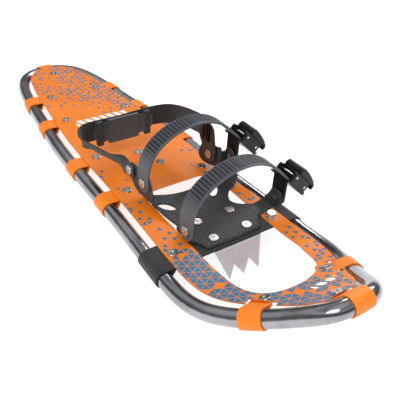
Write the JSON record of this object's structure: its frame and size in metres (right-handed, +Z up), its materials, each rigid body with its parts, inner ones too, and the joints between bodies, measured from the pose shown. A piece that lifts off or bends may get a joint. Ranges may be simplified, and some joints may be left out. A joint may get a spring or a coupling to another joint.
{
  "type": "snowshoe",
  "caption": "Snowshoe for the left foot: upturned bent tube frame, riveted plastic deck, pivoting toe binding with ratchet straps, heel strap and toothed crampons.",
  "frame": {"origin": "centre of the top of the tread pad in the harness, where the ball of the boot rests (mount boot_rest); it is 4 mm from the middle plane between the side tubes and 17 mm above the plane of the tube's centre line", "axes": "+X to the wearer's left, the outer side with the buckles; +Y towards the tail, -Y towards the toe; +Z up"},
  "size_m": [0.2238, 0.7672, 0.141],
  "materials": {
    "tube": "polished",
    "nickel": "polished",
    "deck_plastic": "satin",
    "wrap_plastic": "satin",
    "pivot_webbing": "woven",
    "stamped_steel": "satin",
    "harness_rubber": "textured",
    "ladder_plastic": "satin",
    "buckle_plastic": "gloss",
    "pin_steel": "polished",
    "webbing": "woven",
    "pad_fabric": "padded"
  },
  "bodies": {
    "frame": {"frame_tube": "tube", "tail_sleeve": "tube", "splice_rivets": "nickel", "deck": "deck_plastic", "deck_wraps": "wrap_plastic", "wrap_rivets": "nickel", "wrap_washers": "nickel", "pivot_strap_right": "pivot_webbing", "pivot_strap_left": "pivot_webbing", "pivot_rivets": "nickel", "pivot_washers": "nickel", "heel_crampon": "stamped_steel", "heel_crampon_rivets": "nickel"},
    "binding": {"harness": "harness_rubber", "toe_crampon": "stamped_steel", "toe_plate_rivets": "nickel", "strap_pivot_rivets": "nickel", "heel_pivot_rivets": "nickel", "pivot_strap_center": "pivot_webbing"},
    "front_loop": {"front_ladder_strap": "ladder_plastic", "front_buckle_base": "buckle_plastic", "front_lever_pin": "pin_steel", "front_holding_pawl_pin": "pin_steel", "front_pawl_springs": "pin_steel"},
    "front_lever": {"front_buckle_lever": "buckle_plastic", "front_drive_pawl_pin": "pin_steel"},
    "front_drive_pawl": {"front_drive_pawl": "buckle_plastic"},
    "front_holding_pawl": {"front_holding_pawl": "buckle_plastic"},
    "rear_loop": {"rear_ladder_strap": "ladder_plastic", "rear_buckle_base": "buckle_plastic", "rear_lever_pin": "pin_steel", "rear_holding_pawl_pin": "pin_steel", "rear_pawl_springs": "pin_steel"},
    "rear_lever": {"rear_buckle_lever": "buckle_plastic", "rear_drive_pawl_pin": "pin_steel"},
    "rear_drive_pawl": {"rear_drive_pawl": "buckle_plastic"},
    "rear_holding_pawl": {"rear_holding_pawl": "buckle_plastic"},
    "heel_strap": {"heel_webbing": "webbing", "heel_pad": "pad_fabric", "heel_connector": "webbing", "heel_ladder_lock": "buckle_plastic"}
  },
  "joints": [
    {"name": "binding_pivot", "type": "hinge", "parent": "frame", "child": "binding", "pos_m": [-0.004, -0.062, -0.0066], "axis": [1, 0, 0], "range_deg": [0, 50]},
    {"name": "front_loop_swing", "type": "hinge", "parent": "binding", "child": "front_loop", "pos_m": [0.008, -0.064, 0.022], "axis": [1, 0, 0], "range_deg": [-20, 25]},
    {"name": "front_lever_hinge", "type": "hinge", "parent": "front_loop", "child": "front_lever", "pos_m": [0.08387, -0.064, 0.05262], "axis": [0, -1, 0], "range_deg": [0, 75]},
    {"name": "front_drive_pawl_hinge", "type": "hinge", "parent": "front_lever", "child": "front_drive_pawl", "pos_m": [0.08698, -0.064, 0.04654], "axis": [0, -1, 0], "range_deg": [0, 20]},
    {"name": "front_holding_pawl_hinge", "type": "hinge", "parent": "front_loop", "child": "front_holding_pawl", "pos_m": [0.09907, -0.064, 0.03388], "axis": [0, 1, 0], "range_deg": [0, 10]},
    {"name": "rear_loop_swing", "type": "hinge", "parent": "binding", "child": "rear_loop", "pos_m": [0.008, 0.03, 0.029], "axis": [1, 0, 0], "range_deg": [-20, 25]},
    {"name": "rear_lever_hinge", "type": "hinge", "parent": "rear_loop", "child": "rear_lever", "pos_m": [0.08387, 0.03, 0.05962], "axis": [0, -1, 0], "range_deg": [0, 75]},
    {"name": "rear_drive_pawl_hinge", "type": "hinge", "parent": "rear_lever", "child": "rear_drive_pawl", "pos_m": [0.08698, 0.03, 0.05354], "axis": [0, -1, 0], "range_deg": [0, 20]},
    {"name": "rear_holding_pawl_hinge", "type": "hinge", "parent": "rear_loop", "child": "rear_holding_pawl", "pos_m": [0.09907, 0.03, 0.04088], "axis": [0, 1, 0], "range_deg": [0, 10]},
    {"name": "heel_strap_swing", "type": "hinge", "parent": "binding", "child": "heel_strap", "pos_m": [-0.058, 0.062, 0.03], "axis": [0.9961, -0.0428, -0.077], "range_deg": [-12, 45]}
  ]
}
